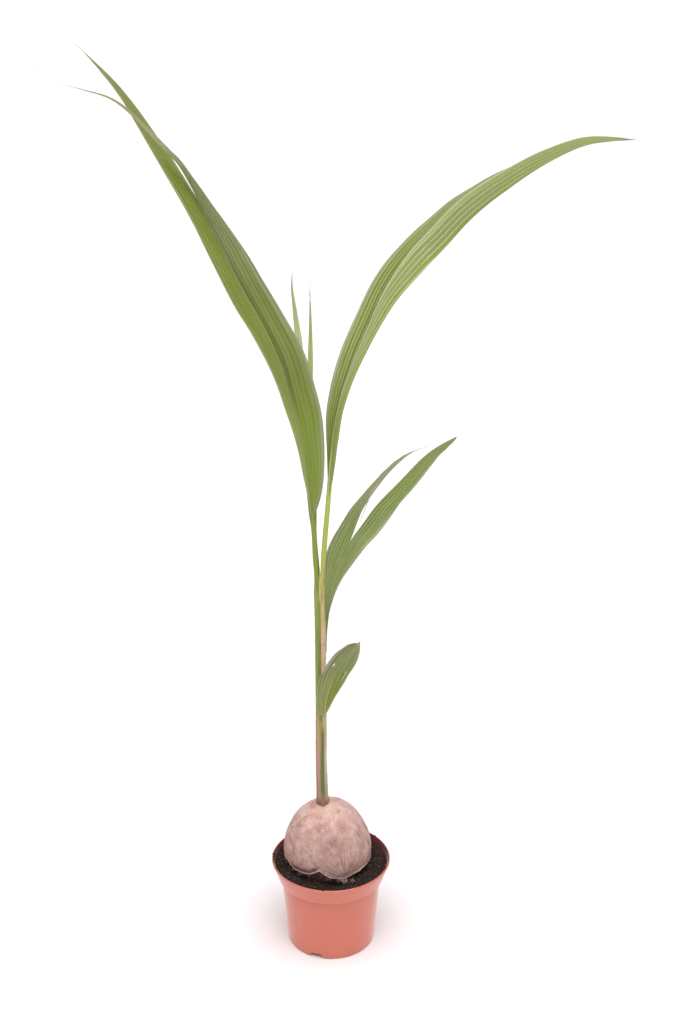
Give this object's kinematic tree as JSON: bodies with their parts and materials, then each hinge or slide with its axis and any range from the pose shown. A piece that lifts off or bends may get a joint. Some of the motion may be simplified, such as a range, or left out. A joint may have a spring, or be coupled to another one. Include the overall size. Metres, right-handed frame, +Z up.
{
  "type": "potted coconut palm seedling",
  "caption": "Young coconut palm sprouted from its husked nut, with split strap leaves, standing in a round plastic nursery pot of soil.",
  "frame": {"origin": "centre of the pot's flat underside", "axes": "+Z up along the pot's axis; +X towards the arching leaf_4, -X towards leaf_3, -Y is the front"},
  "size_m": [0.7489, 0.27, 1.3883],
  "materials": {
    "pot": "satin terracotta-coloured moulded plastic",
    "soil": "moist dark peat potting soil",
    "husk": "dry smooth husk skin with fine fibres",
    "sheath": "dry fibrous leaf sheath over green stalks",
    "rib": "smooth waxy yellow-green",
    "blade": "satin leaf with fine parallel veins"
  },
  "bodies": {
    "root": {"pot": "pot", "soil": "soil", "nut": "husk", "stem": "sheath", "leaf_1_rib": "rib", "leaf_1_left_blade": "blade", "leaf_1_right_blade": "blade", "leaf_2_rib": "rib", "leaf_2_left_blade": "blade", "leaf_2_right_blade": "blade", "leaf_3_rib": "rib", "leaf_3_left_blade": "blade", "leaf_3_right_blade": "blade", "leaf_4_rib": "rib", "leaf_4_left_blade": "blade", "leaf_4_right_blade": "blade", "leaf_5_rib": "rib", "leaf_5_left_blade": "blade", "leaf_5_right_blade": "blade"}
  },
  "joints": []
}
